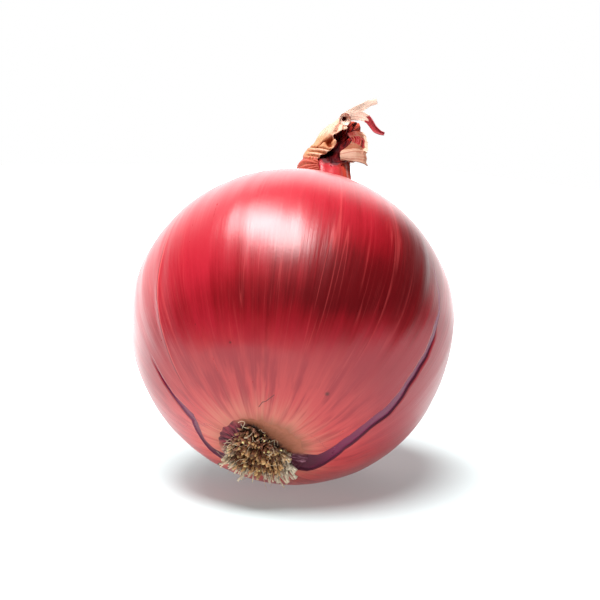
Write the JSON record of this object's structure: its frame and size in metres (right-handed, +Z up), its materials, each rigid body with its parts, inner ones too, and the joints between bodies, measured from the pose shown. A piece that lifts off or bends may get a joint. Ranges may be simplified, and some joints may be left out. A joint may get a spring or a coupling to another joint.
{
  "type": "red onion",
  "caption": "Whole red onion lying on its side: round fleshy bulb with split outer skin, cut root tuft and dry papery neck.",
  "frame": {"origin": "middle of the small flat spot that the onion rests on", "axes": "+Z up from the surface; the neck points away along +Y, 14.9 degrees towards +X and 37.2 degrees up; the roots face -Y"},
  "size_m": [0.0797, 0.0922, 0.0883],
  "materials": {
    "onion_skin": "thin glossy red skin with darker veins, tight over the bulb",
    "dry_roots": "matte, dry and fibrous",
    "shrivelled_leaf": "satin, wrinkled, dark maroon",
    "papery_skin": "matte to satin dry skin, thin and brittle"
  },
  "bodies": {
    "root": {"bulb": "onion_skin", "root_tuft": "dry_roots", "neck_core": "shrivelled_leaf", "neck_skin": "papery_skin"}
  },
  "joints": []
}
